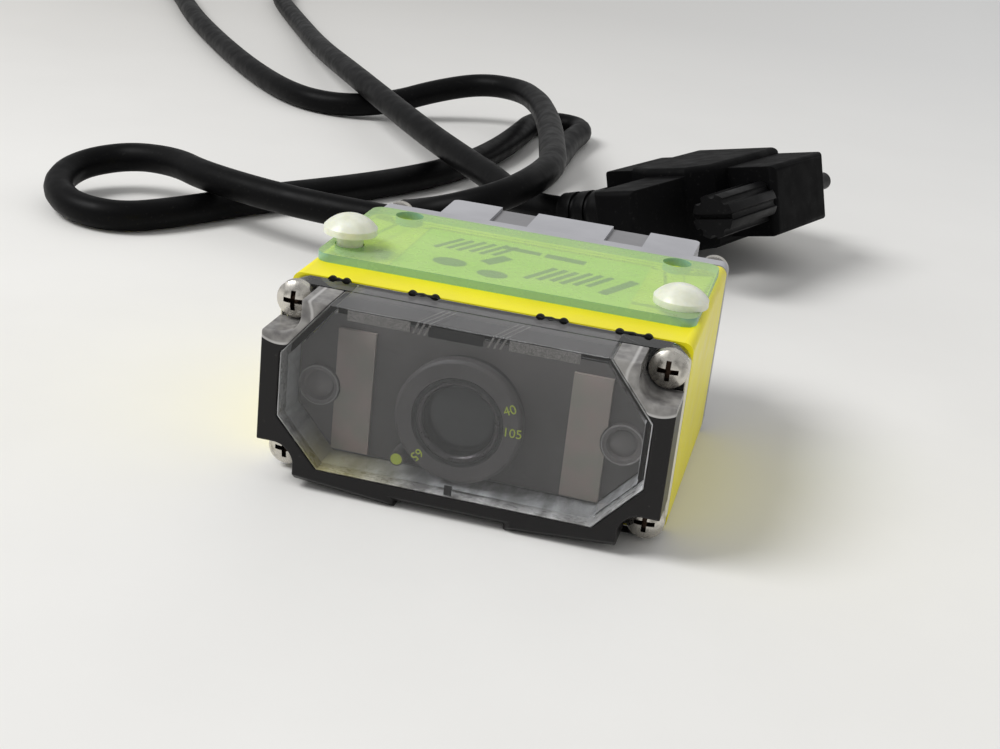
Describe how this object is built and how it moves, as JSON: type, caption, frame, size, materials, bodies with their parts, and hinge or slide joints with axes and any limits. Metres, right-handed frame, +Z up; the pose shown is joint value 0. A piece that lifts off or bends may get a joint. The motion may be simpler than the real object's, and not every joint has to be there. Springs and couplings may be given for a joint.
{
  "type": "barcode reader",
  "caption": "Compact fixed-mount barcode reader with clear front window, focus dial, insulating top plate, and a lead with a screw-lock plug.",
  "frame": {"origin": "centre of the reader's footprint (window face to cable gland), on the surface it rests on", "axes": "+X to the right as seen from the window side, +Y from the window to the cable, +Z up"},
  "size_m": [0.1998, 0.3077, 0.0248],
  "materials": {
    "painted_casting": "satin yellow paint",
    "clear_plastic": "clear, polished",
    "dark_frame_plastic": "fine texture",
    "seal_rubber": "matt",
    "plated_screw": "zinc plated",
    "shroud_plastic": "matt",
    "filter_film": "thin tinted film",
    "lamp_plastic": "clear red",
    "barrel_black": "black anodised",
    "optical_glass": "polished, coated",
    "dial_plastic": "matt with pale numbers",
    "board_green": "solder mask",
    "header_black": "moulded",
    "rear_casting": "grey paint",
    "cable_rubber": "satin",
    "label_film": "silver film",
    "plate_green": "translucent green",
    "nylon": "natural nylon",
    "plug_plastic": "moulded, satin",
    "plug_steel": "nickel plated",
    "insert_plastic": "moulded",
    "pin_gold": "gold flash"
  },
  "bodies": {
    "reader": {"housing": "painted_casting", "front_cover": "clear_plastic", "front_frame": "dark_frame_plastic", "front_gasket": "seal_rubber", "light_baffle": "shroud_plastic", "filter_strip_left": "filter_film", "filter_strip_right": "filter_film", "lamp_lens_left": "lamp_plastic", "lamp_lens_right": "lamp_plastic", "lens_barrel": "barrel_black", "front_lens": "optical_glass", "lamp_board": "board_green", "sensor_board": "board_green", "board_header": "header_black", "main_board": "board_green", "rear_gasket": "seal_rubber", "rear_cover": "rear_casting", "cable_gland": "cable_rubber", "top_label": "label_film", "isolation_plate": "plate_green", "nylon_screw_left": "nylon", "nylon_screw_right": "nylon", "plug_hood": "plug_plastic", "plug_strain_relief": "cable_rubber", "plug_shell": "plug_steel", "plug_insert": "insert_plastic", "plug_pins": "pin_gold", "cable": "cable_rubber", "cover_screw_low_left": "plated_screw", "rear_screw_low_left": "plated_screw", "cover_screw_low_right": "plated_screw", "rear_screw_low_right": "plated_screw", "cover_screw_high_left": "plated_screw", "rear_screw_high_left": "plated_screw", "cover_screw_high_right": "plated_screw", "rear_screw_high_right": "plated_screw"},
    "dial": {"focus_dial": "dial_plastic"},
    "left_thumbscrew": {"thumbscrew_left": "plug_plastic"},
    "right_thumbscrew": {"thumbscrew_right": "plug_plastic"}
  },
  "joints": [
    {"name": "focus_turn", "type": "hinge", "parent": "reader", "child": "dial", "pos_m": [-0.0005, -0.0232, 0.0101], "axis": [0, 1, 0], "range_deg": [-199, 137]},
    {"name": "left_thumbscrew_turn", "type": "hinge", "parent": "reader", "child": "left_thumbscrew", "pos_m": [-0.00279, 0.08433, 0.00577], "axis": [0.3827, 0.9239, 0], "continuous": true},
    {"name": "right_thumbscrew_turn", "type": "hinge", "parent": "reader", "child": "right_thumbscrew", "pos_m": [0.01952, 0.07509, 0.01224], "axis": [0.3827, 0.9239, 0], "continuous": true}
  ]
}
